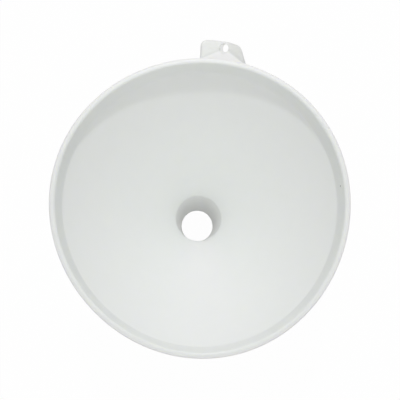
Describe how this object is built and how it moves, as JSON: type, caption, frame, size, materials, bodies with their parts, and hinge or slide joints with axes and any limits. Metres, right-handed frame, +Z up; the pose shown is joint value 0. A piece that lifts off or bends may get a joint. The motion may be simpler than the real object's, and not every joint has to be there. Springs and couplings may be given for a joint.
{
  "type": "plastic funnel",
  "caption": "Moulded plastic funnel with a rounded lip, a short collar, a wide cone, a tapered square-cut stem and a webbed hanging lug on the rim.",
  "frame": {"origin": "centre of the stem's square-cut tip, on the funnel's axis", "axes": "+Z up the axis from the tip to the mouth, +Y from the axis to the hanging lug"},
  "size_m": [0.15, 0.1593, 0.148],
  "materials": {
    "body": "satin"
  },
  "bodies": {
    "root": {"funnel": "body"}
  },
  "joints": []
}
